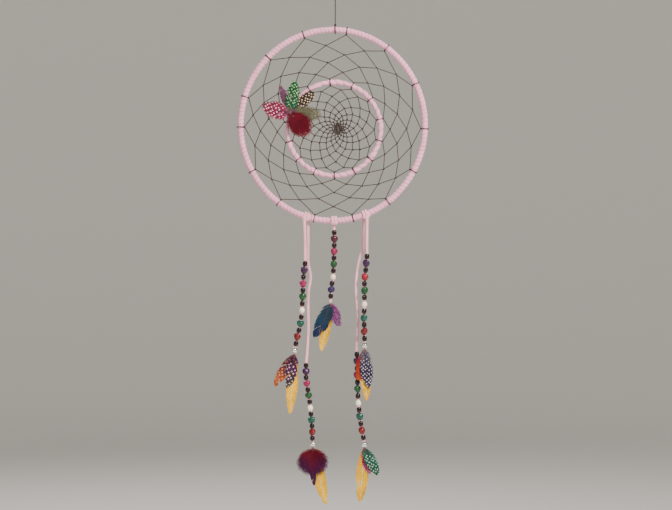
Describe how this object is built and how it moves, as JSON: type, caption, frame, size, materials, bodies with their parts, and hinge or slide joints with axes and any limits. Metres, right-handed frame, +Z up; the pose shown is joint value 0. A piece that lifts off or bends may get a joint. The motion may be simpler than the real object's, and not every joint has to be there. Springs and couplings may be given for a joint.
{
  "type": "dream catcher",
  "caption": "Hanging hoop wrapped in lace with a thread web, an inner ring, a rosette of feathers, and beaded laces that end in feathers.",
  "frame": {"origin": "where the hang loop rests on its peg", "axes": "+Z up along the hang cord, +X to the viewer's right, -Y the front that faces the room"},
  "size_m": [0.2305, 0.0188, 0.6474],
  "materials": {
    "dark_cord": "matte",
    "rattan": "matte",
    "pink_lace": "suede",
    "dark_thread": "matte",
    "plum_feather": "matte",
    "green_feather": "matte",
    "rose_feather": "matte",
    "brown_feather": "matte",
    "olive_feather": "matte",
    "crimson_feather": "matte",
    "dark_bead": "gloss",
    "dyed_stone": "polished",
    "pale_bead": "gloss",
    "yellow_feather": "matte",
    "orange_feather": "matte",
    "purple_feather": "matte",
    "violet_feather": "matte",
    "navy_feather": "matte",
    "magenta_feather": "matte",
    "teal_feather": "matte"
  },
  "bodies": {
    "hanger": {"hang_loop": "dark_cord", "hang_knot": "dark_cord"},
    "cord": {"hang_cord": "dark_cord", "hang_hitch": "dark_cord"},
    "hoop": {"hoop_core": "rattan", "hoop_wrap": "pink_lace", "hoop_hitches": "dark_thread", "outer_web": "dark_thread", "ring_core": "rattan", "ring_wrap": "pink_lace", "ring_hitches": "dark_thread", "inner_web": "dark_thread", "web_knot": "dark_thread", "rosette_tie": "dark_thread"},
    "rosette": {"rosette_binding": "dark_thread", "rosette_plum": "plum_feather", "rosette_green": "green_feather", "rosette_rose": "rose_feather", "rosette_brown": "brown_feather", "rosette_olive": "olive_feather", "rosette_crimson": "crimson_feather"},
    "left_knot_turn": {"left_knot": "pink_lace"},
    "middle_knot_turn": {"middle_knot": "pink_lace"},
    "right_knot_turn": {"right_knot": "pink_lace"},
    "left_short_strand": {"left_short_lace": "pink_lace", "left_short_dark_beads": "dark_bead", "left_short_stones": "dyed_stone", "left_short_pearls": "pale_bead"},
    "left_short_bunch": {"left_short_yellow_feather": "yellow_feather", "left_short_orange_feather": "orange_feather", "left_short_purple_feather": "purple_feather"},
    "left_long_strand": {"left_long_lace": "pink_lace", "left_long_dark_beads": "dark_bead", "left_long_stones": "dyed_stone", "left_long_pearls": "pale_bead"},
    "left_long_bunch": {"left_long_yellow_feather": "yellow_feather", "left_long_crimson_puff": "crimson_feather"},
    "middle_strand": {"middle_lace": "pink_lace", "middle_dark_beads": "dark_bead", "middle_stones": "dyed_stone", "middle_pearl": "pale_bead"},
    "middle_bunch": {"middle_yellow_feather": "yellow_feather", "middle_violet_feather": "violet_feather", "middle_navy_feather": "navy_feather"},
    "right_short_strand": {"right_short_lace": "pink_lace", "right_short_dark_beads": "dark_bead", "right_short_stones": "dyed_stone", "right_short_pearls": "pale_bead"},
    "right_short_bunch": {"right_short_yellow_feather": "yellow_feather", "right_short_orange_feather": "orange_feather", "right_short_navy_feather": "navy_feather"},
    "right_long_strand": {"right_long_lace": "pink_lace", "right_long_dark_beads": "dark_bead", "right_long_stones": "dyed_stone", "right_long_pearls": "pale_bead"},
    "right_long_bunch": {"right_long_yellow_feather": "yellow_feather", "right_long_magenta_feather": "magenta_feather", "right_long_teal_feather": "teal_feather"}
  },
  "joints": [
    {"name": "cord_twist", "type": "hinge", "parent": "hanger", "child": "cord", "pos_m": [0, 0, -0.01536], "axis": [0, 0, 1], "range_deg": [-90, 90], "stiffness_Nm_per_rad": 0.001},
    {"name": "hoop_tip", "type": "hinge", "parent": "cord", "child": "hoop", "pos_m": [0, 0, -0.07594], "axis": [1, 0, 0], "range_deg": [-20, 20]},
    {"name": "rosette_turn", "type": "hinge", "parent": "hoop", "child": "rosette", "pos_m": [-0.05402, 0, -0.17565], "axis": [0, 1, 0], "range_deg": [-15, 15]},
    {"name": "left_knot_swing", "type": "hinge", "parent": "hoop", "child": "left_knot_turn", "pos_m": [-0.0346, 0, -0.30013], "axis": [0.9557, 0, -0.2944], "range_deg": [-20, 20]},
    {"name": "middle_knot_swing", "type": "hinge", "parent": "hoop", "child": "middle_knot_turn", "pos_m": [-0.0013, 0, -0.30489], "axis": [0.9999, 0, 0.0149], "range_deg": [-20, 20]},
    {"name": "right_knot_swing", "type": "hinge", "parent": "hoop", "child": "right_knot_turn", "pos_m": [0.0363, 0, -0.29751], "axis": [0.9314, 0, 0.3641], "range_deg": [-20, 20]},
    {"name": "left_short_sway", "type": "hinge", "parent": "left_knot_turn", "child": "left_short_strand", "pos_m": [-0.0366, -0.005, -0.3072], "axis": [0, 1, 0], "range_deg": [-1, 20]},
    {"name": "left_long_sway", "type": "hinge", "parent": "left_knot_turn", "child": "left_long_strand", "pos_m": [-0.0326, 0.005, -0.3072], "axis": [0, 1, 0], "range_deg": [-1, 16]},
    {"name": "middle_sway", "type": "hinge", "parent": "middle_knot_turn", "child": "middle_strand", "pos_m": [-0.0013, 0, -0.312], "axis": [0, 1, 0], "range_deg": [-4, 1]},
    {"name": "right_short_sway", "type": "hinge", "parent": "right_knot_turn", "child": "right_short_strand", "pos_m": [0.0383, -0.005, -0.3046], "axis": [0, 1, 0], "range_deg": [-20, 1]},
    {"name": "right_long_sway", "type": "hinge", "parent": "right_knot_turn", "child": "right_long_strand", "pos_m": [0.0343, 0.005, -0.3046], "axis": [0, 1, 0], "range_deg": [-16, 1]},
    {"name": "left_short_bunch_swing", "type": "hinge", "parent": "left_short_strand", "child": "left_short_bunch", "pos_m": [-0.049, -0.005, -0.4645], "axis": [1, 0, 0], "range_deg": [-30, 1]},
    {"name": "left_long_bunch_swing", "type": "hinge", "parent": "left_long_strand", "child": "left_long_bunch", "pos_m": [-0.027, 0.005, -0.5775], "axis": [1, 0, 0], "range_deg": [-25, 25]},
    {"name": "middle_bunch_swing", "type": "hinge", "parent": "middle_strand", "child": "middle_bunch", "pos_m": [-0.0058, 0, -0.404], "axis": [1, 0, 0], "range_deg": [-25, 25]},
    {"name": "right_short_bunch_swing", "type": "hinge", "parent": "right_short_strand", "child": "right_short_bunch", "pos_m": [0.0355, -0.005, -0.4585], "axis": [1, 0, 0], "range_deg": [-30, 1]},
    {"name": "right_long_bunch_swing", "type": "hinge", "parent": "right_long_strand", "child": "right_long_bunch", "pos_m": [0.0355, 0.005, -0.5775], "axis": [1, 0, 0], "range_deg": [-25, 25]}
  ]
}
